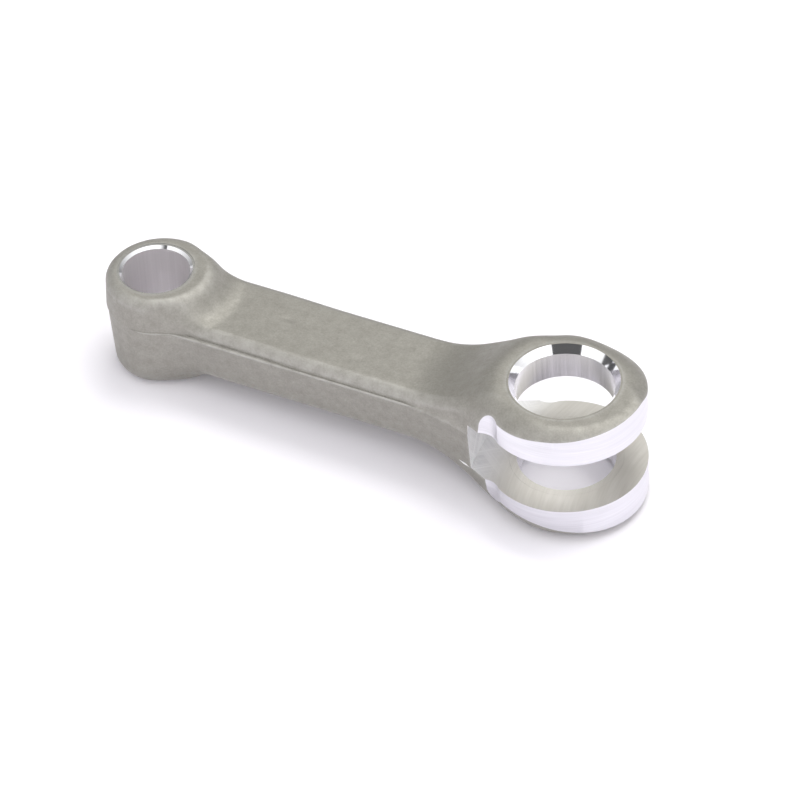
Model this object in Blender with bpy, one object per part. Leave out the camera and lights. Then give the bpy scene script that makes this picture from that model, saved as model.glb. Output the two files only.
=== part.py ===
"""Forked connecting rod of a small multi-cylinder engine.

The rod is a closed-die forging, lying with both bores upright. Its +X end is the forked big
end, whose two tines are turned outside, slotted apart and bored for the crankpin. Its -X end is
the small end, bored for the wrist pin. Three thin bearing bushes are pressed into the bores.
The origin is under the middle of the rod, at the height of the big end's lower face.
"""

import math

import bmesh
import bpy
from mathutils import Matrix, Vector

MM = 0.001

# Bores and their bushes
CENTRE_DISTANCE = 46.0 * MM
CRANKPIN_BORE = 10.0 * MM
CRANKPIN_BUSH_WALL = 0.75 * MM
WRIST_PIN_BORE = 7.0 * MM
WRIST_PIN_BUSH_WALL = 0.5 * MM
PRESS_FIT_GAP = 0.02 * MM

# Big end
BIG_END_HEIGHT = 14.0 * MM
TURNED_RADIUS = 8.2 * MM
SLOT_WIDTH = 6.2 * MM
SLOT_ROOT_REACH = 8.5 * MM          # bore axis to the deepest point of the slot
SLOTTING_CUTTER_RADIUS = 30.0 * MM
FORGED_TIP_RADIUS = 9.0 * MM        # before turning, towards the tip
FORGED_SIDE_RADIUS = 8.35 * MM      # before turning, across the rod
BIG_END_CORNER = 1.9 * MM
TURNED_ARC = math.radians(119)      # each side of the tip
NOTCH_RADIUS = 1.8 * MM
NOTCH_BACK = 5.55 * MM              # bore axis to the notch centre, along the rod
NOTCH_OUT = 7.8 * MM                # and across it

# Small end
SMALL_END_HEIGHT = 11.4 * MM
SMALL_END_RADIUS = 5.8 * MM
SMALL_END_OFFSET = 0.5 * MM         # forged boss centre, from the bore axis towards the shank
SMALL_END_CORNER = 1.0 * MM

# Shank
SHANK_HALF_WIDTH = 4.5 * MM         # at the parting line
SHANK_HALF_HEIGHT = 3.3 * MM
SHANK_CORNER = 1.0 * MM
PARTING_HEIGHT = 1.9 * MM           # above the middle plane of the forging
DRAFT = math.tan(math.radians(7))
BOSS_DRAFT = DRAFT / 4              # the bosses' sides stand nearly upright
FLARE_RADIUS = 18.0 * MM            # shank side into the big end, in plan
RAMP_START = 29.5 * MM              # from the wrist pin axis, where the shank starts to thicken
RAMP_END = 38.5 * MM
RAMP_HALF_HEIGHT = 6.6 * MM         # where the ramp runs into the big end
SMALL_FLARE = 3.0 * MM              # half length of the flare at the small end
SMALL_FLARE_OUT = 0.6 * MM          # and how much it adds to the half width

# Mouth chamfers of the bushes
CRANKPIN_CHAMFER = (0.55 * MM, 0.9 * MM)    # across, deep
WRIST_PIN_CHAMFER = (0.28 * MM, 0.28 * MM)

# How far the loft runs into the bosses, and the cutters past the forging
LOFT_START = 0.5 * MM               # from the wrist pin axis
LOFT_END = 2.0 * MM                 # from the crankpin axis
SIDE_OVERRUN = 5.0 * MM
BORE_OVERRUN = 2.0 * MM

ROUND_STEPS = 96
NOTCH_STEPS = 40
SLOT_ROOT_STEPS = 16
CORNER_STEPS = 4
STATIONS = 33

SMALL_END_X = -24.45 * MM
BIG_END_X = SMALL_END_X + CENTRE_DISTANCE
MIDDLE_Z = BIG_END_HEIGHT / 2

FORGING_COLOUR = (0.335, 0.330, 0.310, 1.0)
BUSH_COLOUR = (0.780, 0.780, 0.800, 1.0)


def clear_scene():
    for item in list(bpy.data.objects):
        bpy.data.objects.remove(item, do_unlink=True)


def make_material(name, colour, roughness, metallic):
    material = bpy.data.materials.new(name)
    material.use_nodes = True
    shader = material.node_tree.nodes["Principled BSDF"]
    shader.inputs["Base Color"].default_value = colour
    shader.inputs["Roughness"].default_value = roughness
    shader.inputs["Metallic"].default_value = metallic
    return material


def add_object(name, mesh, location=(0.0, 0.0, 0.0)):
    item = bpy.data.objects.new(name, mesh)
    item.location = location
    bpy.context.scene.collection.objects.link(item)
    return item


def finish_mesh(name, edit):
    bmesh.ops.recalc_face_normals(edit, faces=edit.faces)
    mesh = bpy.data.meshes.new(name)
    edit.to_mesh(mesh)
    edit.free()
    return mesh


def arc(centre, radius, start, end, steps):
    """Points of an arc about a centre, from one angle to another, both ends included."""
    points = []
    for step in range(steps + 1):
        angle = start + (end - start) * step / steps
        points.append((centre[0] + radius * math.cos(angle), centre[1] + radius * math.sin(angle)))
    return points


def turned_mesh(name, profile, closed):
    """A solid turned about Z from (radius, height) points; an open profile ends on the axis."""
    edit = bmesh.new()
    corners = [edit.verts.new((radius, 0.0, height)) for radius, height in profile]
    edges = [edit.edges.new(pair) for pair in zip(corners, corners[1:])]
    if closed:
        edges.append(edit.edges.new((corners[-1], corners[0])))
    bmesh.ops.spin(edit, geom=corners + edges, cent=(0, 0, 0), axis=(0, 0, 1),
                   angle=math.tau, steps=ROUND_STEPS, use_merge=True)
    bmesh.ops.remove_doubles(edit, verts=edit.verts, dist=1e-7)
    return finish_mesh(name, edit)


def prism_mesh(name, outline, low, high):
    """A plan outline extruded between two heights."""
    edit = bmesh.new()
    base = edit.faces.new([edit.verts.new((x, y, low)) for x, y in outline])
    grown = bmesh.ops.extrude_face_region(edit, geom=[base])
    lifted = [item for item in grown["geom"] if isinstance(item, bmesh.types.BMVert)]
    bmesh.ops.translate(edit, verts=lifted, vec=Vector((0, 0, high - low)))
    return finish_mesh(name, edit)


def apply_boolean(target, tool, operation):
    """Joins or cuts with an exact Boolean, makes it permanent and drops the tool."""
    modifier = target.modifiers.new(operation.lower(), "BOOLEAN")
    modifier.operation = operation
    modifier.solver = "EXACT"
    modifier.object = tool
    graph = bpy.context.evaluated_depsgraph_get()
    result = bpy.data.meshes.new_from_object(target.evaluated_get(graph))
    target.modifiers.remove(modifier)
    target.data = result
    bpy.data.objects.remove(tool, do_unlink=True)


def smooth_step(value, start, end):
    share = min(max((value - start) / (end - start), 0.0), 1.0)
    return share * share * (3.0 - 2.0 * share)


# ---------------------------------------------------------------- forging

def shank_half_width(along):
    """Half width at the parting line, at a distance from the wrist pin axis.

    One concave arc leads from the straight side into the big end's outline.
    """
    reach = math.sqrt((FORGED_SIDE_RADIUS + FLARE_RADIUS) ** 2
                      - (SHANK_HALF_WIDTH + FLARE_RADIUS) ** 2)
    arc_start = CENTRE_DISTANCE - reach
    touch = CENTRE_DISTANCE - reach * FORGED_SIDE_RADIUS / (FORGED_SIDE_RADIUS + FLARE_RADIUS)
    past_start = min(max(along, arc_start), touch) - arc_start
    big_flare = FLARE_RADIUS - math.sqrt(FLARE_RADIUS ** 2 - past_start ** 2)
    small_flare = SMALL_FLARE_OUT * (1.0 - smooth_step(
        along, SMALL_END_RADIUS - SMALL_FLARE, SMALL_END_RADIUS + SMALL_FLARE))
    return SHANK_HALF_WIDTH + big_flare + small_flare


def shank_half_height(along):
    return SHANK_HALF_HEIGHT + (RAMP_HALF_HEIGHT - SHANK_HALF_HEIGHT) * smooth_step(
        along, RAMP_START, RAMP_END)


def shank_section(along):
    """Closed section: drafted sides that meet at the parting line, with rounded corners."""
    width = shank_half_width(along)
    height = shank_half_height(along)
    top_side = width - (height - PARTING_HEIGHT) * DRAFT
    low_side = width - (height + PARTING_HEIGHT) * DRAFT
    top = arc((top_side - SHANK_CORNER, height - SHANK_CORNER), SHANK_CORNER,
              math.pi / 2, 0.0, CORNER_STEPS)
    low = arc((low_side - SHANK_CORNER, SHANK_CORNER - height), SHANK_CORNER,
              0.0, -math.pi / 2, CORNER_STEPS)
    right = top + [(width, PARTING_HEIGHT)] + low
    left = [(-across, up) for across, up in reversed(right)]
    return right + left


def shank_mesh():
    """The shank lofted from section to section, from inside one boss to inside the other."""
    edit = bmesh.new()
    last = CENTRE_DISTANCE - LOFT_END
    rings = []
    for station in range(STATIONS):
        along = LOFT_START + (last - LOFT_START) * station / (STATIONS - 1)
        ring = [edit.verts.new((SMALL_END_X + along, across, MIDDLE_Z + up))
                for across, up in shank_section(along)]
        rings.append(ring)
    for ring, following in zip(rings, rings[1:]):
        for index in range(len(ring)):
            after = (index + 1) % len(ring)
            edit.faces.new((ring[index], ring[after], following[after], following[index]))
    edit.faces.new(rings[0])
    edit.faces.new(rings[-1])
    return finish_mesh("shank", edit)


def boss_mesh(name, radius, half_height, corner):
    """A round forged boss: flat faces, rounded corners and sides drafted from the parting line."""
    top_side = radius - (half_height - corner - PARTING_HEIGHT) * BOSS_DRAFT
    low_side = radius - (half_height - corner + PARTING_HEIGHT) * BOSS_DRAFT
    profile = [(0.0, half_height)]
    profile += arc((top_side - corner, half_height - corner), corner, math.pi / 2, 0.0, CORNER_STEPS)
    profile.append((radius, PARTING_HEIGHT))
    profile += arc((low_side - corner, corner - half_height), corner, 0.0, -math.pi / 2, CORNER_STEPS)
    profile.append((0.0, -half_height))
    return turned_mesh(name, profile, closed=False)


def turning_cutter_outline():
    """What the turning of the tines removes: a ring round the tip, open towards the shank."""
    inner = arc((BIG_END_X, 0.0), TURNED_RADIUS, -TURNED_ARC, TURNED_ARC, 2 * ROUND_STEPS // 3)
    outer = arc((BIG_END_X, 0.0), TURNED_RADIUS + SIDE_OVERRUN, TURNED_ARC, -TURNED_ARC, ROUND_STEPS // 3)
    return inner + outer


def slot_cutter_outline():
    """The slotting cutter's sweep: a round root, and clear out past the tip."""
    half_sweep = TURNED_RADIUS + SIDE_OVERRUN
    centre = (BIG_END_X - SLOT_ROOT_REACH + SLOTTING_CUTTER_RADIUS, 0.0)
    half_angle = math.asin(half_sweep / SLOTTING_CUTTER_RADIUS)
    root = arc(centre, SLOTTING_CUTTER_RADIUS, math.pi - half_angle, math.pi + half_angle,
               SLOT_ROOT_STEPS)
    beyond = BIG_END_X + half_sweep
    return root + [(beyond, -half_sweep), (beyond, half_sweep)]


def make_forging():
    """The forging: shank and two bosses joined, then turned, notched, slotted and bored."""
    forging = add_object("rod_forging", shank_mesh())

    big_boss = boss_mesh("big_boss", FORGED_SIDE_RADIUS, BIG_END_HEIGHT / 2, BIG_END_CORNER)
    big_boss.transform(Matrix.Diagonal((FORGED_TIP_RADIUS / FORGED_SIDE_RADIUS, 1.0, 1.0, 1.0)))
    apply_boolean(forging, add_object("big_boss", big_boss, (BIG_END_X, 0, MIDDLE_Z)), "UNION")

    small_boss = boss_mesh("small_boss", SMALL_END_RADIUS, SMALL_END_HEIGHT / 2, SMALL_END_CORNER)
    small_x = SMALL_END_X + SMALL_END_OFFSET
    apply_boolean(forging, add_object("small_boss", small_boss, (small_x, 0, MIDDLE_Z)), "UNION")

    below = -BORE_OVERRUN
    above = BIG_END_HEIGHT + BORE_OVERRUN
    turning = prism_mesh("turning", turning_cutter_outline(), below, above)
    apply_boolean(forging, add_object("turning", turning), "DIFFERENCE")

    for side in (-1, 1):
        centre = (BIG_END_X - NOTCH_BACK, side * NOTCH_OUT)
        notch = arc(centre, NOTCH_RADIUS, 0.0, math.tau, NOTCH_STEPS)[:-1]
        apply_boolean(forging, add_object("notch", prism_mesh("notch", notch, below, above)),
                      "DIFFERENCE")

    slot = prism_mesh("slot", slot_cutter_outline(), MIDDLE_Z - SLOT_WIDTH / 2, MIDDLE_Z + SLOT_WIDTH / 2)
    apply_boolean(forging, add_object("slot", slot), "DIFFERENCE")

    bores = ((BIG_END_X, CRANKPIN_BORE / 2 + CRANKPIN_BUSH_WALL),
             (SMALL_END_X, WRIST_PIN_BORE / 2 + WRIST_PIN_BUSH_WALL))
    for x, radius in bores:
        bore = arc((x, 0.0), radius + PRESS_FIT_GAP, 0.0, math.tau, ROUND_STEPS)[:-1]
        apply_boolean(forging, add_object("bore", prism_mesh("bore", bore, below, above)), "DIFFERENCE")
    return forging


# ---------------------------------------------------------------- bushes

def make_bush(name, x, bore, wall, chamfer, low, high, chamfer_low, chamfer_high):
    """A plain bush between two heights, with a chamfer at each mouth that is open outwards."""
    inner = bore / 2
    outer = inner + wall
    across, deep = chamfer
    profile = [(outer, low), (outer, high)]
    profile += [(inner + across, high), (inner, high - deep)] if chamfer_high else [(inner, high)]
    profile += [(inner, low + deep), (inner + across, low)] if chamfer_low else [(inner, low)]
    return add_object(name, turned_mesh(name, profile, closed=True), (x, 0.0, 0.0))


def make_bushes():
    """One bush through the small end, and one in each tine of the fork."""
    slot_low = MIDDLE_Z - SLOT_WIDTH / 2
    slot_high = MIDDLE_Z + SLOT_WIDTH / 2
    small_low = MIDDLE_Z - SMALL_END_HEIGHT / 2
    small_high = MIDDLE_Z + SMALL_END_HEIGHT / 2
    return [
        make_bush("small_end_bush", SMALL_END_X, WRIST_PIN_BORE, WRIST_PIN_BUSH_WALL,
                  WRIST_PIN_CHAMFER, small_low, small_high, True, True),
        make_bush("big_end_bush_lower", BIG_END_X, CRANKPIN_BORE, CRANKPIN_BUSH_WALL,
                  CRANKPIN_CHAMFER, 0.0, slot_low, True, False),
        make_bush("big_end_bush_upper", BIG_END_X, CRANKPIN_BORE, CRANKPIN_BUSH_WALL,
                  CRANKPIN_CHAMFER, slot_high, BIG_END_HEIGHT, False, True),
    ]


clear_scene()
rod = make_forging()
rod.data.materials.clear()
rod.data.materials.append(make_material("blasted_forging", FORGING_COLOUR, 0.62, 0.85))
bushes = make_bushes()
bush_material = make_material("bright_bush", BUSH_COLOUR, 0.22, 1.0)
for bush in bushes:
    bush.data.materials.append(bush_material)
for item in [rod] + bushes:
    item.data.shade_smooth()
    item.data.set_sharp_from_angle(angle=math.radians(30))
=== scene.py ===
"""A forked connecting rod, lying with both bores upright: its forging, its machined faces and the
bushes in its bores. Lengths are in metres in the CAD frame; a length named in mm says so."""

import math

import bmesh
import bpy
import numpy as np
from mathutils import Matrix, Vector
from mathutils.kdtree import KDTree


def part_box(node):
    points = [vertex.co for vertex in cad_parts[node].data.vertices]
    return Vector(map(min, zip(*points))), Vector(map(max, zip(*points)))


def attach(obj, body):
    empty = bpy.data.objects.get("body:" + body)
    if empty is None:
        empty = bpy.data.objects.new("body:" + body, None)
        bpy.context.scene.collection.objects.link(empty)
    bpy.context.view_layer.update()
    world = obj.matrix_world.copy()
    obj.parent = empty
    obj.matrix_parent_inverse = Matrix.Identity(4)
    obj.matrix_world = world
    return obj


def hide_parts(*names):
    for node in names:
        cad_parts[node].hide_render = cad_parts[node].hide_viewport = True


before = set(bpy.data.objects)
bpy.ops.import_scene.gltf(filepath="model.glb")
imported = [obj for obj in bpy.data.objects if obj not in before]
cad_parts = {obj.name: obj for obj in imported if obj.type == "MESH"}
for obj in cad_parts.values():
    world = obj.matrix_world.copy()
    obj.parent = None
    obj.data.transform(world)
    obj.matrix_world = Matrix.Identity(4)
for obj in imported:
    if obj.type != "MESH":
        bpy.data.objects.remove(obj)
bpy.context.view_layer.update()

# ------------------------------------------------------------------ forging
# The rod is one closed-die aluminium forging, shot blasted grey all over. Here it is the blank as
# it left the two dies, which met a little above its middle plane, before any machining.
#
# Sizes are in mm: x along the rod from the wrist pin axis, y across it, z up from its middle plane.

MM = 0.001
CENTRES = 46.0
PARTING = 2.1                   # the dies meet this far above the middle plane
SHANK_DRAFT = math.tan(math.radians(8.0))
SMALL_DRAFT = math.tan(math.radians(3.0))
BIG_DRAFT = math.tan(math.radians(4.0))
PARTING_STEP = 0.1              # half the height over which one die's shape gives way to the other
DIE_MISMATCH = (0.12, 0.16)     # how far the upper die stood off, towards the small end and back
NECK_MISMATCH = 0.14            # how much further back it stood beside the small end

SMALL_RADIUS = 5.8
SMALL_CENTRE = 0.62
SMALL_HALF_HEIGHT = 5.7
SMALL_CORNERS = (1.05, 1.9)     # upper and lower edge of the boss
SMALL_FILLET = 3.0              # boss side into the shank's top

BIG_SIDE_RADIUS = 8.74          # at the parting line
BIG_TIP_RADIUS = 9.8
BIG_HALF_HEIGHT = 7.0
BIG_CORNER = 1.9
BIG_FAR_CORNER = 3.4            # the die was worn rounder at the upper edge of the far side
SHOULDER_CORNER = 2.7           # where the shank's edges run into the big end

SHANK_HALF_WIDTH = 4.75
SHANK_HALF_HEIGHT = 3.3
SHANK_CORNER = 0.9
SMALL_NECK = 12.0               # radius of the shank's side into each end, in plan
BIG_NECK = 28.0
RAMP_REACH = 16.0               # from the crankpin axis to where the shank starts to thicken
RAMP_CURVE = 0.052
RAMP_TOP_BLEND = 1.2
FACING_ANGLE = math.radians(58)  # each boss faces the shank as an arc, and runs straight past this

# Where one shape gives way to the next along the rod, as (start, end).
MISMATCH_BEGINS = (1.0, 7.0)
NECK_MISMATCH_ENDS = (12.0, 20.0)
MISMATCH_ENDS = (CENTRES - 10, CENTRES - 4)
SMALL_TO_SHANK_DRAFT = (1.5, 6.5)
SHANK_TO_BIG_DRAFT = (CENTRES - 9.5, CENTRES - 4.5)
SMALL_TO_SHANK_CORNER = (3.0, 9.0)
SHANK_TO_SHOULDER_CORNER = (CENTRES - 10, CENTRES - 3)
SHOULDER_TO_BIG_CORNER = (CENTRES - 3, CENTRES + 2)
RAMP_TO_BIG_TOP = (CENTRES - 8, CENTRES - 2)

SKIN_STEP = 0.2
SKIN_MARGIN = 1.0
SLOPE_REACH = 0.01

# Small dints that scale left in the top: place along and across, length, width and depth.
SCALE_DINTS = ((14.6, 0.9, 0.75, 0.28, 0.07),
               (24.0, -1.6, 0.5, 0.35, 0.03),
               (9.6, 2.2, 0.5, 0.3, 0.03))


def rounded_edge(one, other, radius):
    """Where two solids' surfaces meet in an outer edge, rounded."""
    corner = np.hypot(np.maximum(one + radius, 0), np.maximum(other + radius, 0))
    return np.minimum(np.maximum(one, other), -radius) + corner


def filleted(one, other, radius):
    """Two solids joined, with a fillet where they meet."""
    corner = np.hypot(np.maximum(radius - one, 0), np.maximum(radius - other, 0))
    return np.maximum(np.minimum(one, other), radius) - corner


def eased(value, start, end):
    """Rises smoothly from 0 at start to 1 at end."""
    share = np.clip((value - start) / (end - start), 0.0, 1.0)
    return share * share * (3 - 2 * share)


def neck_centre(boss_x, boss_radius, neck, side):
    """Where a neck's arc is centred: it touches the shank's straight side and the boss."""
    along = math.sqrt((boss_radius + neck) ** 2 - (SHANK_HALF_WIDTH + neck) ** 2)
    return boss_x + side * along, SHANK_HALF_WIDTH + neck


def outline(x, y):
    """Distance outside the forging's outline at the parting line, in plan."""
    y = np.abs(y)
    stretch = np.where(x > CENTRES, BIG_SIDE_RADIUS / BIG_TIP_RADIUS, 1.0)
    small = np.hypot(x - SMALL_CENTRE, y) - SMALL_RADIUS
    big = np.hypot((x - CENTRES) * stretch, y) - BIG_SIDE_RADIUS
    near_x, near_y = neck_centre(SMALL_CENTRE, SMALL_RADIUS, SMALL_NECK, 1)
    far_x, far_y = neck_centre(CENTRES, BIG_SIDE_RADIUS, BIG_NECK, -1)
    near = SMALL_NECK - np.hypot(x - near_x, y - near_y)
    far = BIG_NECK - np.hypot(x - far_x, y - far_y)
    on_small = (near_x - SMALL_CENTRE) * y > near_y * (x - SMALL_CENTRE)
    on_big = (CENTRES - far_x) * y > far_y * (CENTRES - x)
    middle = np.where(x < near_x, near, np.where(x > far_x, far, y - SHANK_HALF_WIDTH))
    return np.where(on_small, small, np.where(on_big, big, middle))


def facing_distance(along, across):
    """Distance from a boss's axis, on the side that faces the shank; flat beyond that."""
    across = np.abs(across)
    angle = np.arctan2(across, along)
    beyond = along * math.cos(FACING_ANGLE) + across * math.sin(FACING_ANGLE)
    return np.where(angle < FACING_ANGLE, np.hypot(along, across), beyond)


def forging_skin(x, y, z):
    """Below zero inside the forging's skin, and about the distance from it nearby."""
    upper = eased(z, PARTING - PARTING_STEP, PARTING + PARTING_STEP)
    x = x + DIE_MISMATCH[0] * upper
    back = DIE_MISMATCH[1] + NECK_MISMATCH * (1 - eased(x, *NECK_MISMATCH_ENDS))
    y = y - back * upper * eased(x, *MISMATCH_BEGINS) * (1 - eased(x, *MISMATCH_ENDS))
    draft = SMALL_DRAFT + (SHANK_DRAFT - SMALL_DRAFT) * eased(x, *SMALL_TO_SHANK_DRAFT)
    draft = draft + (BIG_DRAFT - SHANK_DRAFT) * eased(x, *SHANK_TO_BIG_DRAFT)
    drafted = draft * np.abs(z - PARTING)
    side = (outline(x, y) + drafted) / np.sqrt(1 + draft ** 2)
    height = np.abs(z)

    rise = RAMP_CURVE * np.maximum(RAMP_REACH - facing_distance(CENTRES - x, y), 0) ** 2
    ramp = SHANK_HALF_HEIGHT + rise
    share = np.clip(0.5 + 0.5 * (ramp - BIG_HALF_HEIGHT) / RAMP_TOP_BLEND, 0, 1)
    level = ramp + (BIG_HALF_HEIGHT - ramp) * share - RAMP_TOP_BLEND * share * (1 - share)
    level = level + (BIG_HALF_HEIGHT - level) * eased(x, *RAMP_TO_BIG_TOP)

    small_corner = np.where(z > 0, SMALL_CORNERS[0], SMALL_CORNERS[1])
    boss_side = facing_distance(x - SMALL_CENTRE, y) - SMALL_RADIUS
    boss_side = boss_side + SMALL_DRAFT * np.abs(z - PARTING)
    boss = rounded_edge(boss_side, height - SMALL_HALF_HEIGHT, small_corner)
    top = filleted(boss, height - level, SMALL_FILLET)

    near_shank = small_corner + (SHANK_CORNER - small_corner) * eased(x, *SMALL_TO_SHANK_CORNER)
    edge = SHANK_CORNER + (SHOULDER_CORNER - SHANK_CORNER) * eased(x, *SHANK_TO_SHOULDER_CORNER)
    big_corner = BIG_CORNER + (BIG_FAR_CORNER - BIG_CORNER) * eased(y, 0, 3) * eased(z, 0, 2)
    edge = edge + (big_corner - SHOULDER_CORNER) * eased(x, *SHOULDER_TO_BIG_CORNER)
    edge = np.where(x < SMALL_TO_SHANK_CORNER[1], near_shank, edge)
    return rounded_edge(side, top, edge)


def skin_slope(points):
    """The skin's value and its gradient at an array of points."""
    value = forging_skin(*points.T)
    gradient = np.empty_like(points)
    for axis in range(3):
        shift = np.zeros(3)
        shift[axis] = SLOPE_REACH
        ahead = forging_skin(*(points + shift).T)
        behind = forging_skin(*(points - shift).T)
        gradient[:, axis] = (ahead - behind) / (2 * SLOPE_REACH)
    return value, gradient


def pulled_to_skin(points, rounds):
    """Points moved along the slope until they lie on the skin."""
    for _ in range(rounds):
        value, gradient = skin_slope(points)
        steep = np.maximum((gradient ** 2).sum(1), 0.05)
        points = points - (value / steep)[:, None] * gradient
    return points


def skin_faces(step):
    """A net over the skin: a point in each cell it crosses, a quad at each edge it crosses."""
    low = np.array((SMALL_CENTRE - SMALL_RADIUS - SKIN_MARGIN, -10.0, -BIG_HALF_HEIGHT - 0.9))
    high = np.array((CENTRES + BIG_TIP_RADIUS + SKIN_MARGIN, 10.0, BIG_HALF_HEIGHT + 0.9))
    axes = [np.arange(start, end, step) for start, end in zip(low, high)]
    field = forging_skin(*np.meshgrid(*axes, indexing="ij"))
    inside = field < 0
    shape = np.array(field.shape)
    total = np.zeros((field.size, 3))
    count = np.zeros(field.size)
    quads = []
    for axis in range(3):
        ahead = [slice(None)] * 3
        ahead[axis] = slice(1, None)
        behind = [slice(None)] * 3
        behind[axis] = slice(None, -1)
        crossed = np.argwhere(inside[tuple(ahead)] != inside[tuple(behind)])
        onward = crossed.copy()
        onward[:, axis] += 1
        start = field[tuple(crossed.T)]
        end = field[tuple(onward.T)]
        place = crossed.astype(float)
        place[:, axis] += start / (start - end)
        one, other = [a for a in range(3) if a != axis]
        ring = []
        for down_one, down_other in ((0, 0), (1, 0), (1, 1), (0, 1)):
            cell = crossed.copy()
            cell[:, one] -= down_one
            cell[:, other] -= down_other
            index = np.ravel_multi_index(tuple(cell.T), shape)
            ring.append(index)
            count += np.bincount(index, minlength=field.size)
            for part in range(3):
                total[:, part] += np.bincount(index, place[:, part], field.size)
        ring = np.array(ring).T
        turn = (start < 0) == (axis != 1)
        ring[~turn] = ring[~turn][:, ::-1]
        quads.append(ring)
    quads = np.concatenate(quads)
    used = np.unique(quads)
    points = total[used] / count[used, None] * step + low
    return pulled_to_skin(points, 4), np.searchsorted(used, quads)


def new_object(name, mesh):
    made = bpy.data.objects.new(name, mesh)
    bpy.context.scene.collection.objects.link(made)
    return made


skin_points, skin_quads = skin_faces(SKIN_STEP)
for along, across, length, width, depth in SCALE_DINTS:
    from_middle = (skin_points[:, :2] - (along, across)) / (length, width)
    dip = depth * np.exp(-(from_middle ** 2).sum(1))
    skin_points[:, 2] -= np.where(skin_points[:, 2] > 0, dip, 0)
skin_mesh = bpy.data.meshes.new("forging")
skin_mesh.from_pydata(skin_points.tolist(), [], skin_quads.tolist())
skin_mesh.validate()
forging = new_object("forging", skin_mesh)


def machined(target, tool, operation):
    """Joins or cuts with a Boolean that keeps the tool's material on the new faces."""
    modifier = target.modifiers.new(operation.lower(), "BOOLEAN")
    modifier.operation = operation
    modifier.solver = "MANIFOLD"
    modifier.material_mode = "TRANSFER"
    modifier.object = tool
    graph = bpy.context.evaluated_depsgraph_get()
    result = bpy.data.meshes.new_from_object(target.evaluated_get(graph))
    target.modifiers.remove(modifier)
    target.data = result
    bpy.data.objects.remove(tool, do_unlink=True)


# The blasted skin is fine and matt and slightly mottled. It is paler along its edges and its flash, partly
# rubbed metal and partly a painted highlight.
SKIN_GREY = (0.258, 0.248, 0.223)
SKIN_PALE = (0.355, 0.343, 0.314)
# Pale colour of rubbed metal, also used as a painted highlight along edges and the flash.
SKIN_RUBBED_AND_HIGHLIGHT = (0.62, 0.61, 0.60)
GRAIN_SIZE = 0.2
MOTTLE_SIZE = 1.1
SKIN_ROUGHNESS = 0.55
SKIN_METALLIC = 0.6
SHEEN_SWING = 0.06
GRAIN_DEPTH = 0.03


def node(tree, kind, inputs=(), **settings):
    """A node with its properties set, and its inputs given a value or linked to a socket."""
    made = tree.nodes.new(kind)
    for name, value in settings.items():
        setattr(made, name, value)
    for name, value in dict(inputs).items():
        if isinstance(value, bpy.types.NodeSocket):
            tree.links.new(value, made.inputs[name])
        else:
            made.inputs[name].default_value = value
    return made


def math_node(tree, operation, *values):
    return node(tree, "ShaderNodeMath", dict(enumerate(values)), operation=operation).outputs[0]


def effect_group(name, inputs, outputs):
    """An empty shader node group with named sockets; returns it, its inputs and its output node."""
    group = bpy.data.node_groups.new(name, "ShaderNodeTree")
    for title, kind, value in inputs:
        socket = group.interface.new_socket(name=title, in_out="INPUT", socket_type=kind)
        if value is not None:
            socket.default_value = value
    for title, kind in outputs:
        group.interface.new_socket(name=title, in_out="OUTPUT", socket_type=kind)
    given = group.nodes.new("NodeGroupInput").outputs
    return group, given, group.nodes.new("NodeGroupOutput")


def effect(tree, group, inputs):
    """A shader node group put to work in a material; returns its outputs."""
    return node(tree, "ShaderNodeGroup", inputs, node_tree=group).outputs


def finish_material(name, roughness, metallic):
    """A Principled material; returns it, its tree, the shader and object coordinates in mm."""
    material = bpy.data.materials.new(name)
    material.use_nodes = True
    tree = material.node_tree
    shader = tree.nodes["Principled BSDF"]
    shader.inputs["Roughness"].default_value = roughness
    shader.inputs["Metallic"].default_value = metallic
    place = node(tree, "ShaderNodeTexCoord").outputs["Object"]
    in_mm = node(tree, "ShaderNodeVectorMath", {0: place, 1: (1 / MM,) * 3}, operation="MULTIPLY")
    return material, tree, shader, in_mm.outputs[0]


def relief(tree, shader, height, depth, strength):
    """Fine relief of a depth in mm, on the shader's normal."""
    bump = node(tree, "ShaderNodeBump",
                {"Strength": strength, "Distance": depth * MM, "Height": height})
    tree.links.new(bump.outputs[0], shader.inputs["Normal"])


def blast_grain_group():
    """Shot blasting: fine grain over broader, softer mottling."""
    group, given, out = effect_group(
        "blast_grain",
        (("Vector", "NodeSocketVector", None), ("Grain", "NodeSocketFloat", 0.16),
         ("Mottle", "NodeSocketFloat", 1.1)),
        (("Speckle", "NodeSocketFloat"), ("Patches", "NodeSocketFloat"), ("Height", "NodeSocketFloat")))
    fine_scale = math_node(group, "DIVIDE", 1.0, given["Grain"])
    broad_scale = math_node(group, "DIVIDE", 1.0, given["Mottle"])
    place = given["Vector"]
    fine = node(group, "ShaderNodeTexNoise",
                {"Vector": place, "Scale": fine_scale, "Detail": 3.0, "Roughness": 0.65})
    broad = node(group, "ShaderNodeTexNoise",
                 {"Vector": place, "Scale": broad_scale, "Detail": 4.0, "Roughness": 0.6})
    pits = node(group, "ShaderNodeTexVoronoi", {"Vector": place, "Scale": fine_scale})
    dents = math_node(group, "MULTIPLY", pits.outputs["Distance"], 0.55)
    height = math_node(group, "ADD", fine.outputs[0], dents)
    group.links.new(fine.outputs[0], out.inputs["Speckle"])
    group.links.new(broad.outputs[0], out.inputs["Patches"])
    group.links.new(height, out.inputs["Height"])
    return group


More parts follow.
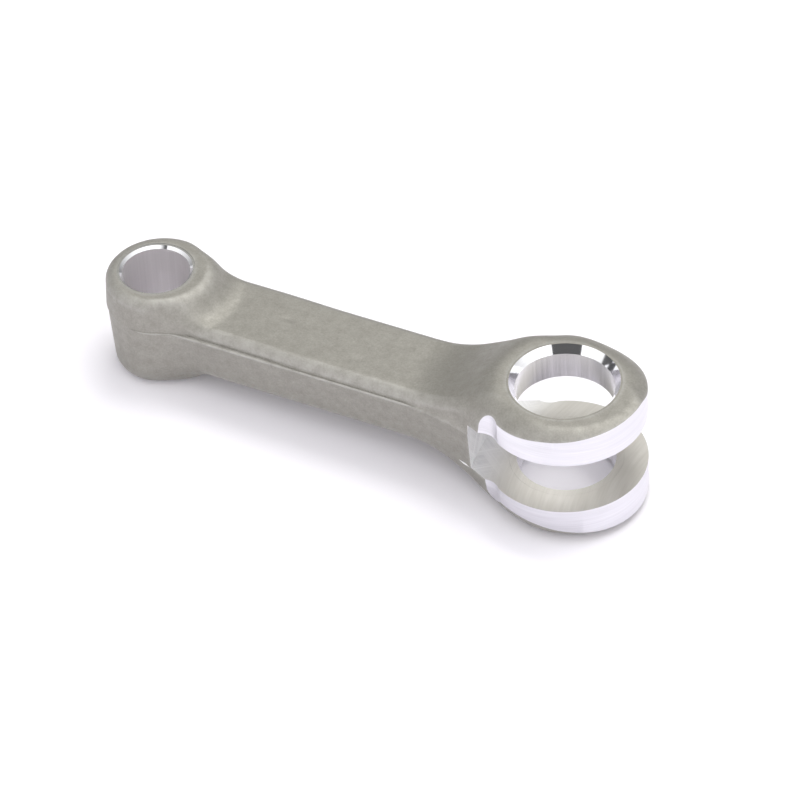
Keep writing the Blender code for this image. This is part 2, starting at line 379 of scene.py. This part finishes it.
def tool_marks_group():
    """Parallel marks of a cutting tool: fine across them, drawn out along them."""
    group, given, out = effect_group(
        "tool_marks",
        (("Across", "NodeSocketFloat", 0.0), ("Along", "NodeSocketFloat", 0.0),
         ("Pitch", "NodeSocketFloat", 0.1), ("Length", "NodeSocketFloat", 8.0)),
        (("Line", "NodeSocketFloat"), ("Height", "NodeSocketFloat")))
    across = math_node(group, "DIVIDE", given["Across"], given["Pitch"])
    along = math_node(group, "DIVIDE", given["Along"], given["Length"])
    place = node(group, "ShaderNodeCombineXYZ", {"X": across, "Y": along})
    line = node(group, "ShaderNodeTexNoise",
                {"Vector": place.outputs[0], "Scale": 1.0, "Detail": 2.5, "Roughness": 0.6})
    broad = math_node(group, "MULTIPLY", across, 0.13)
    wide_place = node(group, "ShaderNodeCombineXYZ", {"X": broad, "Y": along})
    wide = node(group, "ShaderNodeTexNoise",
                {"Vector": wide_place.outputs[0], "Scale": 1.0, "Detail": 1.0})
    both = math_node(group, "ADD", math_node(group, "MULTIPLY", line.outputs[0], 0.6),
                     math_node(group, "MULTIPLY", wide.outputs[0], 0.4))
    group.links.new(both, out.inputs["Line"])
    group.links.new(line.outputs[0], out.inputs["Height"])
    return group


BLAST_GRAIN = blast_grain_group()
TOOL_MARKS = tool_marks_group()


def mixed(tree, share, one, other):
    """A colour between two, each a socket or three numbers."""
    made = node(tree, "ShaderNodeMix", {0: share}, data_type="RGBA")
    for place, colour in ((6, one), (7, other)):
        if isinstance(colour, bpy.types.NodeSocket):
            tree.links.new(colour, made.inputs[place])
        else:
            made.inputs[place].default_value = (*colour, 1)
    return made.outputs[2]


def ramp_between(tree, share, low, high, dark, pale):
    """A colour from dark to pale as a share goes from low to high."""
    scaled = node(tree, "ShaderNodeMapRange", {"Value": share, "From Min": low, "From Max": high})
    return mixed(tree, scaled.outputs[0], dark, pale)


def blasted_material():
    material, tree, shader, place = finish_material(
        "blasted_forging", SKIN_ROUGHNESS, SKIN_METALLIC)
    grain = effect(tree, BLAST_GRAIN, {"Vector": place, "Grain": GRAIN_SIZE, "Mottle": MOTTLE_SIZE})
    tone = math_node(tree, "ADD", math_node(tree, "MULTIPLY", grain["Speckle"], 0.6),
                     math_node(tree, "MULTIPLY", grain["Patches"], 0.4))
    skin = ramp_between(tree, tone, 0.3, 0.7, SKIN_GREY, SKIN_PALE)
    # Paler along edges and the flash: partly rubbed metal, partly a painted highlight.
    edge = node(tree, "ShaderNodeAttribute", attribute_name="rubbed_and_highlight").outputs["Fac"]
    worn_and_highlight = mixed(tree, math_node(tree, "MULTIPLY", edge, grain["Patches"]), skin, SKIN_RUBBED_AND_HIGHLIGHT)
    tree.links.new(worn_and_highlight, shader.inputs["Base Color"])
    sheen = node(tree, "ShaderNodeMapRange",
                 {"Value": grain["Patches"], "From Min": 0.3, "From Max": 0.7,
                  "To Min": SKIN_ROUGHNESS + SHEEN_SWING, "To Max": SKIN_ROUGHNESS - SHEEN_SWING})
    tree.links.new(sheen.outputs[0], shader.inputs["Roughness"])
    relief(tree, shader, grain["Height"], GRAIN_DEPTH, 0.5)
    return material


blasted = blasted_material()
forging.data.materials.append(blasted)

# The flash was trimmed off where the dies met, and left a thin, slightly ragged ridge along
# both sides of the shank.

FLASH_FROM = -0.6
FLASH_TO = 33.0
FLASH_SPACING = 0.4
FLASH_SIZES = {"Radius": 0.12, "Ragged": 0.45, "Step": 0.15, "Fade": 0.08, "Sides": 10}


def new_tree(name, inputs, output):
    """An empty Geometry Nodes tree with named sockets; returns it and its inputs."""
    tree = bpy.data.node_groups.new(name, "GeometryNodeTree")
    for title, kind in inputs:
        tree.interface.new_socket(name=title, in_out="INPUT", socket_type="NodeSocket" + kind)
    tree.interface.new_socket(name=output, in_out="OUTPUT", socket_type="NodeSocketGeometry")
    return tree, tree.nodes.new("NodeGroupInput").outputs


def flash_tree():
    """Geometry Nodes that run a round ridge along a path, ragged, and fading at both ends."""
    tree, given = new_tree(
        "parting_flash",
        (("Path", "Geometry"), ("Radius", "Float"), ("Ragged", "Float"), ("Step", "Float"),
         ("Fade", "Float"), ("Seed", "Float"), ("Sides", "Int"), ("Finish", "Material")), "Ridge")
    path = node(tree, "GeometryNodeMeshToCurve", {"Mesh": given["Path"]})
    even = node(tree, "GeometryNodeResampleCurve",
                {"Curve": path.outputs[0], "Length": given["Step"]}, mode="LENGTH")
    share = node(tree, "GeometryNodeSplineParameter").outputs["Factor"]
    from_end = math_node(tree, "MINIMUM", share, math_node(tree, "SUBTRACT", 1.0, share))
    fade = node(tree, "ShaderNodeMapRange",
                {"Value": from_end, "From Max": given["Fade"], "To Min": 0.15},
                interpolation_type="SMOOTHSTEP")
    place = node(tree, "GeometryNodeInputPosition")
    wobble = node(tree, "ShaderNodeTexNoise",
                  {"Vector": place.outputs[0], "W": given["Seed"], "Scale": 1.3, "Detail": 3.0},
                  noise_dimensions="4D")
    around = math_node(tree, "SUBTRACT", wobble.outputs[0], 0.5)
    swing = math_node(tree, "MULTIPLY", around, given["Ragged"])
    scale = math_node(tree, "MULTIPLY", math_node(tree, "ADD", 1.0, swing), fade.outputs[0])
    radius = math_node(tree, "MULTIPLY", scale, given["Radius"])
    section = node(tree, "GeometryNodeCurvePrimitiveCircle",
                   {"Resolution": given["Sides"], "Radius": 1.0})
    ridge = node(tree, "GeometryNodeCurveToMesh",
                 {"Curve": even.outputs[0], "Scale": radius, "Profile Curve": section.outputs[0],
                  "Fill Caps": True})
    real = node(tree, "GeometryNodeRealizeInstances", {"Geometry": ridge.outputs[0]})
    finished = node(tree, "GeometryNodeSetMaterial",
                    {"Geometry": real.outputs[0], "Material": given["Finish"]})
    node(tree, "NodeGroupOutput", {0: finished.outputs[0]})
    return tree


def grown_mesh(start, tree, sizes):
    """Runs a Geometry Nodes tree on an object, and keeps the closed result as its mesh."""
    modifier = start.modifiers.new(tree.name, "NODES")
    modifier.node_group = tree
    for item in tree.interface.items_tree:
        if item.item_type == "SOCKET" and item.in_out == "INPUT" and item.name in sizes:
            modifier[item.identifier] = sizes[item.name]
    graph = bpy.context.evaluated_depsgraph_get()
    mesh = bpy.data.meshes.new_from_object(start.evaluated_get(graph))
    start.modifiers.remove(modifier)
    start.data = mesh
    edit = bmesh.new()
    edit.from_mesh(mesh)
    bmesh.ops.remove_doubles(edit, verts=edit.verts, dist=1e-7)
    bmesh.ops.recalc_face_normals(edit, faces=edit.faces)
    edit.to_mesh(mesh)
    edit.free()
    return mesh


def joined_ridge(name, path, sizes, finish):
    """Grows a ridge along a path of points and joins it to the forging."""
    mesh = bpy.data.meshes.new(name)
    mesh.from_pydata(path, [(i, i + 1) for i in range(len(path) - 1)], [])
    ridge = new_object(name, mesh)
    grown_mesh(ridge, FLASH_TREE, {**sizes, "Finish": finish})
    machined(forging, ridge, "UNION")


FLASH_TREE = flash_tree()
for side in (-1, 1):
    along = np.arange(FLASH_FROM, FLASH_TO, FLASH_SPACING)
    level = np.full_like(along, PARTING)
    line = pulled_to_skin(np.stack([along, side * SHANK_HALF_WIDTH + 0 * along, level], 1), 6)
    line[:, 2] = PARTING
    joined_ridge("flash", line.tolist(), {**FLASH_SIZES, "Seed": float(side)}, blasted)

# ------------------------------------------------------------------ machining
# The machined faces of the same forging. The tines are turned round the crankpin axis, notched
# beside the turning with a small end mill and slotted apart with a large cutter, and both ends
# are bored through for their bushes. Sizes are still in mm.

TURNED_RADIUS = 8.2
TURNED_ARC = math.radians(122.5)
NOTCH_RADIUS = 1.95
NOTCH_PLACE = (-5.65, 8.3)      # from the crankpin axis
SLOT_HALF_WIDTH = 3.1
SLOT_ROOT = 8.5                 # crankpin axis to the deepest point of the slot
SLOT_CUTTER = 30.0
BORE_CLEARANCE = 0.01
OVERRUN = 5.0
CUT_HALF_HEIGHT = 9.0           # every cutter runs out above and below the forging
TURNED_DARK = (0.68, 0.67, 0.71)
TURNED_PALE = (0.80, 0.79, 0.835)
MILLED_DARK = (0.50, 0.483, 0.452)
MILLED_PALE = (0.60, 0.583, 0.556)
MILLED_PAINTED_LIGHT_DARK = (0.74, 0.74, 0.76)    # painted light: paler crossed marks beside the root, against the slot's shade
MILLED_PAINTED_LIGHT_PALE = (0.99, 0.99, 1.0)
PAINTED_LIGHT_BEGINS = 4.0            # behind the crankpin axis
PAINTED_LIGHT_FULL = 8.2
PAINTED_LIGHT_SHARE = 0.85
# The root is painted much paler than the slot's sides, as light against the slot's shade.
ROOT_DARK = (0.66, 0.66, 0.68)
ROOT_PALE = (0.98, 0.98, 0.99)
SEAT_DARK = (0.42, 0.42, 0.42)
SEAT_PALE = (0.58, 0.58, 0.58)

upper_low, upper_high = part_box("big_end_bush_upper")
lower_low, lower_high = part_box("big_end_bush_lower")
small_low, small_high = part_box("small_end_bush")
CRANKPIN_X = (upper_low.x + upper_high.x) / 2
WRIST_PIN_X = (small_low.x + small_high.x) / 2
MIDDLE_Z = (small_low.z + small_high.z) / 2


def coordinates(tree, place):
    return node(tree, "ShaderNodeSeparateXYZ", {0: place}).outputs


def marked(tree, shader, marks, dark, pale, depth):
    """The colour and the fine relief that tool marks leave; returns the colour."""
    colour = ramp_between(tree, marks["Line"], 0.32, 0.68, dark, pale)
    tree.links.new(colour, shader.inputs["Base Color"])
    relief(tree, shader, marks["Height"], depth, 0.35)
    return colour


def turned_material():
    """Fine rings left by the lathe tool, level all round."""
    material, tree, shader, place = finish_material("turned_wall", 0.34, 1.0)
    at = coordinates(tree, place)
    marks = effect(tree, TOOL_MARKS,
                   {"Across": at["Z"], "Along": at["X"], "Pitch": 0.09, "Length": 6.0})
    marked(tree, shader, marks, TURNED_DARK, TURNED_PALE, 0.01)
    return material


def crossed_marks(tree, slanted, along):
    """Marks of a cutter that passed both ways over a face."""
    one, other = (
        effect(tree, TOOL_MARKS, {"Across": math_node(tree, way, slanted, along), "Along": along,
                                  "Pitch": pitch, "Length": 9.0})
        for way, pitch in (("ADD", 0.16), ("SUBTRACT", 0.22)))
    return {title: math_node(tree, "MAXIMUM", one[title], other[title])
            for title in ("Line", "Height")}


def milled_material():
    """The slot's flat sides: arcs of the large cutter, with crossed marks beside the root, painted paler
    there as light against the slot's shade.
    """
    material, tree, shader, place = finish_material("milled_side", 0.55, 0.75)
    at = coordinates(tree, place)
    squared = math_node(tree, "MULTIPLY", at["Y"], at["Y"])
    sag = math_node(tree, "DIVIDE", squared, 2 * SLOT_CUTTER)
    across = math_node(tree, "SUBTRACT", at["X"], sag)
    marks = effect(tree, TOOL_MARKS,
                   {"Across": across, "Along": at["Y"], "Pitch": 0.35, "Length": 5.0})
    arcs = marked(tree, shader, marks, MILLED_DARK, MILLED_PALE, 0.012)
    # Painted light: the side turns paler towards the root, where the slot's shade falls.
    near_root = node(tree, "ShaderNodeMapRange",
                     {"Value": across, "From Min": CRANKPIN_X / MM - PAINTED_LIGHT_BEGINS,
                      "From Max": CRANKPIN_X / MM - PAINTED_LIGHT_FULL}, interpolation_type="SMOOTHSTEP")
    crossed = crossed_marks(tree, math_node(tree, "MULTIPLY", at["Y"], 1.3), at["X"])
    bright = ramp_between(tree, crossed["Line"], 0.4, 0.7, MILLED_PAINTED_LIGHT_DARK, MILLED_PAINTED_LIGHT_PALE)
    share = math_node(tree, "MULTIPLY", near_root.outputs[0], PAINTED_LIGHT_SHARE)
    tree.links.new(mixed(tree, share, arcs, bright), shader.inputs["Base Color"])
    return material


def root_material():
    """The slot's root: the cutter's teeth crossed it both ways as it ran in and out. It is painted pale, as
    light against the slot's shade.
    """
    material, tree, shader, place = finish_material("milled_root", 0.55, 0.75)
    at = coordinates(tree, place)
    crossed = crossed_marks(tree, math_node(tree, "MULTIPLY", at["Y"], 1.3), at["Z"])
    marked(tree, shader, crossed, ROOT_DARK, ROOT_PALE, 0.02)
    return material


def seat_material():
    """The bored seats behind the bushes, with rings from the boring bar."""
    material, tree, shader, place = finish_material("bore_seat", 0.4, 1.0)
    at = coordinates(tree, place)
    marks = effect(tree, TOOL_MARKS,
                   {"Across": at["Z"], "Along": at["X"], "Pitch": 0.12, "Length": 7.0})
    marked(tree, shader, marks, SEAT_DARK, SEAT_PALE, 0.01)
    return material


turned = turned_material()
milled = milled_material()
milled_root = root_material()
bore_seat = seat_material()


def arc(centre, radius, start, end, steps):
    angles = np.linspace(start, end, steps + 1)
    return [(centre[0] + radius * math.cos(a), centre[1] + radius * math.sin(a)) for a in angles]


def prism(name, outline_points, low, high, material):
    edit = bmesh.new()
    base = edit.faces.new([edit.verts.new((x, y, low)) for x, y in outline_points])
    grown = bmesh.ops.extrude_face_region(edit, geom=[base])
    lifted = [item for item in grown["geom"] if isinstance(item, bmesh.types.BMVert)]
    bmesh.ops.translate(edit, verts=lifted, vec=Vector((0, 0, high - low)))
    bmesh.ops.triangulate(edit, faces=[f for f in edit.faces if len(f.verts) > 4])
    bmesh.ops.recalc_face_normals(edit, faces=edit.faces)
    mesh = bpy.data.meshes.new(name)
    edit.to_mesh(mesh)
    edit.free()
    mesh.materials.append(material)
    return new_object(name, mesh)


def cylinder(name, centre, radius, low, high, steps, material):
    return prism(name, arc(centre, radius, 0, math.tau, steps)[:-1], low, high, material)


inner = arc((CENTRES, 0), TURNED_RADIUS, -TURNED_ARC, TURNED_ARC, 220)
outer = arc((CENTRES, 0), TURNED_RADIUS + OVERRUN, TURNED_ARC, -TURNED_ARC, 60)
machined(forging, prism("turning", inner + outer, -CUT_HALF_HEIGHT, CUT_HALF_HEIGHT, turned),
         "DIFFERENCE")
for side in (-1, 1):
    centre = (CENTRES + NOTCH_PLACE[0], side * NOTCH_PLACE[1])
    notch = cylinder("notch", centre, NOTCH_RADIUS, -CUT_HALF_HEIGHT, CUT_HALF_HEIGHT, 64, turned)
    machined(forging, notch, "DIFFERENCE")
root_centre = (CENTRES - SLOT_ROOT + SLOT_CUTTER, 0)
half_sweep = TURNED_RADIUS + OVERRUN
root_angle = math.asin(half_sweep / SLOT_CUTTER)
root = arc(root_centre, SLOT_CUTTER, math.pi - root_angle, math.pi + root_angle, 60)
sweep = root + [(CENTRES + half_sweep, -half_sweep), (CENTRES + half_sweep, half_sweep)]
machined(forging, prism("slot", sweep, -SLOT_HALF_WIDTH, SLOT_HALF_WIDTH, milled), "DIFFERENCE")

for x, low_corner, high_corner in ((CENTRES, upper_low, upper_high), (0.0, small_low, small_high)):
    radius = (high_corner.y - low_corner.y) / 2 / MM + BORE_CLEARANCE
    bore = cylinder("bore", (x, 0), radius, -CUT_HALF_HEIGHT, CUT_HALF_HEIGHT, 192, bore_seat)
    machined(forging, bore, "DIFFERENCE")

# The slot's cutter turned up a sliver of burr at the near, lower corner of the slot's root.
BURR_PATH = ((37.9, -5.44, -3.1), (37.3, -5.24, -3.0), (36.5, -5.04, -2.88))
BURR_SIZES = {"Radius": 0.09, "Ragged": 0.5, "Step": 0.1, "Fade": 0.5, "Sides": 8, "Seed": 4.0}
joined_ridge("burr", BURR_PATH, BURR_SIZES, milled_root)

forging.data.transform(Matrix.Translation((WRIST_PIN_X, 0, MIDDLE_Z)) @ Matrix.Scale(MM, 4))
slots = [material.name for material in forging.data.materials]
for face in forging.data.polygons:
    if slots[face.material_index] == "milled_side" and abs(face.normal.z) < 0.5:
        face.material_index = slots.index("milled_root")
forging.data.shade_smooth()
forging.data.set_sharp_from_angle(angle=math.radians(35))

# Along the machined edges the skin is paler in a narrow line: partly rubbed metal, partly a painted
# highlight where the edge catches the light.
RUB_AND_HIGHLIGHT_REACH = 0.22 * MM
edge_faces = {}
for face in forging.data.polygons:
    for key in face.edge_keys:
        edge_faces.setdefault(key, set()).add(face.material_index)
cut_edges = [key for key, kinds in edge_faces.items() if 0 in kinds and len(kinds) > 1]
cut_points = []
for start, end in cut_edges:
    one = forging.data.vertices[start].co
    other = forging.data.vertices[end].co
    parts = max(1, round((other - one).length / (0.1 * MM)))
    cut_points += [one.lerp(other, part / parts) for part in range(parts + 1)]
tree_of_cuts = KDTree(len(cut_points))
for index, point in enumerate(cut_points):
    tree_of_cuts.insert(point, index)
tree_of_cuts.balance()
reach = np.array([tree_of_cuts.find(vertex.co)[2] for vertex in forging.data.vertices])

# The dies' rounded edges get a little of the pale colour, as a painted highlight with some rubbing. The
# trimmed flash gets more: bare metal and a painted highlight along its top.
EDGE_PROBE = 0.2
at_points = np.array([vertex.co for vertex in forging.data.vertices]) / MM
at_points -= np.array((WRIST_PIN_X, 0, MIDDLE_Z)) / MM
bend = np.zeros(len(at_points))
for axis in range(3):
    shift = np.zeros(3)
    shift[axis] = EDGE_PROBE
    for direction in (-1, 1):
        slope = skin_slope(at_points + direction * shift)[1]
        length = np.sqrt((slope ** 2).sum(1)) + 1e-9
        bend += direction * slope[:, axis] / length / (2 * EDGE_PROBE)
on_flash = eased(forging_skin(*at_points.T), 0.01, 0.08)
# A painted highlight along the cut edges, the rounded edges and the flash, partly rubbed metal.
rub_and_highlight = np.maximum(0.4 * np.exp(-(reach / RUB_AND_HIGHLIGHT_REACH) ** 2), 0.3 * eased(bend, 0.25, 0.95))
rub_and_highlight = np.maximum(rub_and_highlight, 0.6 * on_flash)
rubbed_and_highlight = forging.data.attributes.new("rubbed_and_highlight", "FLOAT", "POINT")
rubbed_and_highlight.data.foreach_set("value", rub_and_highlight.astype(np.float32))
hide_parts("rod_forging")
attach(forging, "root")

# ------------------------------------------------------------------ bushes
# Three thin bushes of bright bearing alloy, pressed into the small end and into each tine, then
# bored and reamed in place. The outer mouths have a polished chamfer; the ends are flush.

BORED_DARK = (0.66, 0.65, 0.67)
BORED_PALE = (0.94, 0.93, 0.95)
BUSH_STEPS = 256
SMALL_WALL = 0.5 * MM
BIG_WALL = 0.75 * MM


def bored_material(name, axis_x, dark, pale, roughness):
    """A reamed bore: fine streaks that run from mouth to mouth."""
    material, tree, shader, place = finish_material(name, roughness, 1.0)
    at = coordinates(tree, place)
    centred = math_node(tree, "SUBTRACT", at["X"], axis_x / MM)
    round_it = math_node(tree, "MULTIPLY", math_node(tree, "ARCTAN2", at["Y"], centred), 5.0)
    marks = effect(tree, TOOL_MARKS,
                   {"Across": round_it, "Along": at["Z"], "Pitch": 0.28, "Length": 14.0})
    marked(tree, shader, marks, dark, pale, 0.006)
    return material


def mouth_material():
    """A chamfer cut with a keen tool: nearly a mirror."""
    material, tree, shader, place = finish_material("polished_mouth", 0.07, 1.0)
    at = coordinates(tree, place)
    marks = effect(tree, TOOL_MARKS,
                   {"Across": at["Z"], "Along": at["X"], "Pitch": 0.05, "Length": 5.0})
    marked(tree, shader, marks, (0.80, 0.80, 0.82), (0.88, 0.88, 0.9), 0.001)
    return material


def bush_end_material():
    """The bush's end face, blasted with the forging and a little brighter."""
    material, tree, shader, place = finish_material("bush_end", 0.5, 1.0)
    grain = effect(tree, BLAST_GRAIN, {"Vector": place, "Grain": GRAIN_SIZE, "Mottle": MOTTLE_SIZE})
    skin = ramp_between(tree, grain["Speckle"], 0.3, 0.7, (0.33, 0.325, 0.31), (0.44, 0.435, 0.42))
    tree.links.new(skin, shader.inputs["Base Color"])
    relief(tree, shader, grain["Height"], 0.02, 0.4)
    return material


def bush_tree():
    """Geometry Nodes that turn a bush from its sizes, by a six-cornered profile."""
    tree, given = new_tree(
        "pressed_bush",
        (("Bore radius", "Float"), ("Wall", "Float"), ("Low", "Float"), ("High", "Float"),
         ("Low mouth", "Vector"), ("High mouth", "Vector"), ("Steps", "Int"),
         ("Bore finish", "Material"), ("Mouth finish", "Material"),
         ("Low end finish", "Material"), ("High end finish", "Material")), "Geometry")
    low_mouth = node(tree, "ShaderNodeSeparateXYZ", {0: given["Low mouth"]}).outputs
    high_mouth = node(tree, "ShaderNodeSeparateXYZ", {0: given["High mouth"]}).outputs
    corners = (
        (given["Wall"], given["Low"]),
        (given["Wall"], given["High"]),
        (high_mouth["X"], given["High"]),
        (0.0, math_node(tree, "SUBTRACT", given["High"], high_mouth["Y"])),
        (0.0, math_node(tree, "ADD", given["Low"], low_mouth["Y"])),
        (low_mouth["X"], given["Low"]))
    line = node(tree, "GeometryNodeMeshLine", {"Count": len(corners)})
    index = node(tree, "GeometryNodeInputIndex")
    switch = node(tree, "GeometryNodeIndexSwitch", data_type="VECTOR")
    while len(switch.index_switch_items) < len(corners):
        switch.index_switch_items.new()
    tree.links.new(index.outputs[0], switch.inputs["Index"])
    for order, (out, up) in enumerate(corners):
        down = math_node(tree, "MULTIPLY", up, -1.0)
        corner = node(tree, "ShaderNodeCombineXYZ", {"X": out, "Y": down})
        tree.links.new(corner.outputs[0], switch.inputs[order + 1])
    placed = node(tree, "GeometryNodeSetPosition",
                  {"Geometry": line.outputs[0], "Position": switch.outputs[0]})
    as_curve = node(tree, "GeometryNodeMeshToCurve", {"Mesh": placed.outputs[0]})
    closed = node(tree, "GeometryNodeSetSplineCyclic",
                  {"Geometry": as_curve.outputs[0], "Cyclic": True})
    rail = node(tree, "GeometryNodeCurvePrimitiveCircle",
                {"Resolution": given["Steps"], "Radius": given["Bore radius"]})
    swept = node(tree, "GeometryNodeCurveToMesh",
                 {"Curve": rail.outputs["Curve"], "Profile Curve": closed.outputs[0]})
    normal = node(tree, "GeometryNodeInputNormal")
    upright = node(tree, "ShaderNodeSeparateXYZ", {0: normal.outputs[0]}).outputs["Z"]
    slope = math_node(tree, "ABSOLUTE", upright)
    is_end = node(tree, "FunctionNodeCompare", {0: slope, 1: 0.9}, data_type="FLOAT",
                  operation="GREATER_THAN")
    is_bore = node(tree, "FunctionNodeCompare", {0: slope, 1: 0.1}, data_type="FLOAT",
                   operation="LESS_THAN")
    real = node(tree, "GeometryNodeRealizeInstances", {"Geometry": swept.outputs[0]})
    mouths = node(tree, "GeometryNodeSetMaterial",
                  {"Geometry": real.outputs[0], "Material": given["Mouth finish"]})
    bores = node(tree, "GeometryNodeSetMaterial",
                 {"Geometry": mouths.outputs[0], "Selection": is_bore.outputs[0],
                  "Material": given["Bore finish"]})
    ends = node(tree, "GeometryNodeSetMaterial",
                {"Geometry": bores.outputs[0], "Selection": is_end.outputs[0],
                 "Material": given["Low end finish"]})
    where = node(tree, "GeometryNodeInputPosition")
    at_height = node(tree, "ShaderNodeSeparateXYZ", {0: where.outputs[0]}).outputs["Z"]
    nearly_top = math_node(tree, "SUBTRACT", given["High"], 0.02 * MM)
    is_top = node(tree, "FunctionNodeCompare", {0: at_height, 1: nearly_top}, data_type="FLOAT",
                  operation="GREATER_THAN")
    top = node(tree, "GeometryNodeSetMaterial",
               {"Geometry": ends.outputs[0], "Selection": is_top.outputs[0],
                "Material": given["High end finish"]})
    node(tree, "NodeGroupOutput", {0: top.outputs[0]})
    return tree


BUSH_TREE = bush_tree()
MOUTH = mouth_material()
BUSH_END = bush_end_material()
CRANKPIN_MOUTH = (0.55 * MM, 0.9 * MM, 0.0)
WRIST_PIN_MOUTH = (0.28 * MM, 0.28 * MM, 0.0)
PLAIN_MOUTH = (0.0, 0.0, 0.0)
small_bored = bored_material("small_bore", WRIST_PIN_X, (0.88, 0.86, 0.87), (0.96, 0.94, 0.95), 0.5)
big_bored = bored_material("crankpin_bore", CRANKPIN_X, BORED_DARK, BORED_PALE, 0.26)
bushes = (
    ("small_end_bush", WRIST_PIN_X, SMALL_WALL, WRIST_PIN_MOUTH, WRIST_PIN_MOUTH,
     small_bored, BUSH_END, BUSH_END),
    ("big_end_bush_upper", CRANKPIN_X, BIG_WALL, PLAIN_MOUTH, CRANKPIN_MOUTH,
     big_bored, milled, blasted),
    ("big_end_bush_lower", CRANKPIN_X, BIG_WALL, CRANKPIN_MOUTH, PLAIN_MOUTH,
     big_bored, blasted, milled))
for name, axis_x, wall, low_mouth, high_mouth, bore_finish, low_finish, high_finish in bushes:
    low_corner, high_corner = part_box(name)
    bush = new_object(name + "_turned", bpy.data.meshes.new(name))
    mesh = grown_mesh(bush, BUSH_TREE, {
        "Bore radius": (high_corner.y - low_corner.y) / 2 - wall, "Wall": wall,
        "Low": low_corner.z, "High": high_corner.z, "Low mouth": low_mouth, "High mouth": high_mouth,
        "Steps": BUSH_STEPS, "Bore finish": bore_finish, "Mouth finish": MOUTH,
        "Low end finish": low_finish, "High end finish": high_finish})
    mesh.transform(Matrix.Translation((axis_x, 0, 0)))
    mesh.shade_smooth()
    mesh.set_sharp_from_angle(angle=math.radians(20))
    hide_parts(name)
    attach(bush, "root")

# ------------------------------------------------------------------ floor, light and camera
# The rod lies on plain white paper, on the lower edges of both ends. The big end is the deeper
# one, so the rod leans a little.

FLOOR_TOUCH_BIG = WRIST_PIN_X + 38.5 * MM
FLOOR_TOUCH_SMALL = WRIST_PIN_X - 4.3 * MM
paper = bpy.data.meshes.new("paper")
lean = small_low.z / (FLOOR_TOUCH_BIG - FLOOR_TOUCH_SMALL)
half = 3.0
paper.from_pydata([(x, y, (FLOOR_TOUCH_BIG - x) * lean) for x, y in
                   ((-half, -half), (half, -half), (half, half), (-half, half))], [], [(0, 1, 2, 3)])
paper_material, tree, shader, place = finish_material("white_paper", 0.9, 0.0)
fibres = node(tree, "ShaderNodeTexNoise", {"Vector": place, "Scale": 3.0, "Detail": 4.0})
tree.links.new(ramp_between(tree, fibres.outputs[0], 0.2, 0.8, (0.94, 0.92, 0.975), (0.95, 0.93, 0.985)),
               shader.inputs["Base Color"])
relief(tree, shader, fibres.outputs[0], 0.01, 0.1)
paper.materials.append(paper_material)
floor = new_object("paper", paper)

# A white tent stands all round, with three dark gaps, which the polished chamfers mirror.
ROOM_LIGHT = 1.02
ROOM_SLANT = 0.95               # brighter in front, dimmer behind
ROOM_FRONT = math.radians(28)
# Each gap's azimuth, half width, elevation and half height, in degrees.
DARK_GAPS = ((20, 29, 20, 9), (0, 14, 41, 7), (-72, 17, 1, 8))

world = bpy.data.worlds.new("studio")
bpy.context.scene.world = world
world.use_nodes = True
tree = world.node_tree
look = node(tree, "ShaderNodeTexCoord").outputs["Generated"]
at = node(tree, "ShaderNodeSeparateXYZ", {0: look}).outputs
azimuth = math_node(tree, "ARCTAN2", at["X"], math_node(tree, "MULTIPLY", at["Y"], -1.0))
elevation = math_node(tree, "ARCSINE", at["Z"])
front = math_node(tree, "ADD", math_node(tree, "MULTIPLY", at["X"], math.sin(ROOM_FRONT)),
                  math_node(tree, "MULTIPLY", at["Y"], -math.cos(ROOM_FRONT)))
brightness = math_node(tree, "ADD", ROOM_LIGHT, math_node(tree, "MULTIPLY", front, ROOM_SLANT))
for gap_azimuth, half_width, gap_elevation, half_height in DARK_GAPS:
    aside = math_node(tree, "ABSOLUTE", math_node(tree, "SUBTRACT", azimuth, math.radians(gap_azimuth)))
    above = math_node(tree, "ABSOLUTE", math_node(tree, "SUBTRACT", elevation, math.radians(gap_elevation)))
    outside = math_node(tree, "MAXIMUM", math_node(tree, "SUBTRACT", aside, math.radians(half_width)),
                        math_node(tree, "SUBTRACT", above, math.radians(half_height)))
    brightness = node(tree, "ShaderNodeMapRange", {"Value": outside, "From Min": -0.02, "From Max": 0.02,
                                                   "To Min": 0.12, "To Max": brightness}).outputs[0]
background = tree.nodes["Background"]
background.inputs["Color"].default_value = (1, 1, 1, 1)
tree.links.new(brightness, background.inputs["Strength"])

softbox = bpy.data.lights.new("softbox", "AREA")
softbox.shape = "RECTANGLE"
softbox.size = 0.5
softbox.size_y = 0.4
softbox.energy = 2.3
softbox.color = (1.0, 1.0, 0.96)
softbox_object = new_object("softbox", softbox)
softbox_object.location = (0.05, 0.28, 0.6)
towards_rod = Vector((0, 0, 0)) - softbox_object.location
softbox_object.rotation_euler = towards_rod.to_track_quat("-Z", "Y").to_euler()

bpy.context.scene.view_settings.view_transform = "Standard"

camera = bpy.data.cameras.new("camera")
camera.lens = 225
camera.sensor_width = 36
camera_object = new_object("camera", camera)
CAMERA_AIM = Vector((0.0001, 0.0053, -0.0008))
CAMERA_DISTANCE = 0.5138
CAMERA_AZIMUTH = math.radians(28.58)
CAMERA_ELEVATION = math.radians(42.12)
CAMERA_ROLL = math.radians(3.28)
turn = (Matrix.Rotation(CAMERA_AZIMUTH, 4, "Z") @ Matrix.Rotation(math.pi / 2 - CAMERA_ELEVATION, 4, "X")
        @ Matrix.Rotation(-CAMERA_ROLL, 4, "Z"))
back_off = Matrix.Translation((0, 0, CAMERA_DISTANCE))
camera_object.matrix_world = Matrix.Translation(CAMERA_AIM) @ turn @ back_off
bpy.context.scene.camera = camera_object
